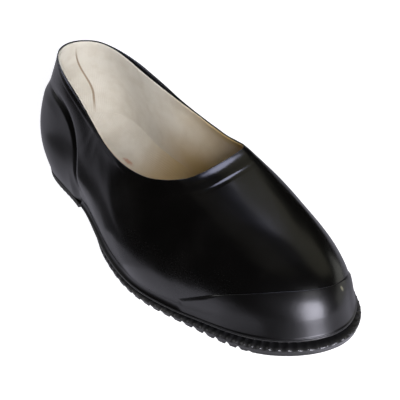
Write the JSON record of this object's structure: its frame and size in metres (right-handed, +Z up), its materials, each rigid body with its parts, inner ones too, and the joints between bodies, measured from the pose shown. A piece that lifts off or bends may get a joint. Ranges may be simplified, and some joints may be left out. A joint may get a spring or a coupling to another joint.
{
  "type": "rubber shoe",
  "caption": "Low slip-on rubber shoe for the right foot: glossy black shell with toe cap, heel counter and collar band, cream inside, ribbed sole with a low heel and arched shank.",
  "frame": {"origin": "on the floor, under the middle of the shoe's box", "axes": "+X from heel to toe, +Y to the wearer's left, which is the inner side of a right shoe, +Z up"},
  "size_m": [0.289, 0.1132, 0.0978],
  "materials": {
    "gloss_rubber": "glossy lacquered black rubber",
    "tread_rubber": "satin black rubber",
    "lining_textile": "cream cotton knit"
  },
  "bodies": {
    "root": {"outsole": "tread_rubber", "upper": "gloss_rubber", "foxing": "gloss_rubber", "toe_cap": "gloss_rubber", "heel_counter": "gloss_rubber", "collar_band": "gloss_rubber", "insole": "lining_textile"}
  },
  "joints": []
}
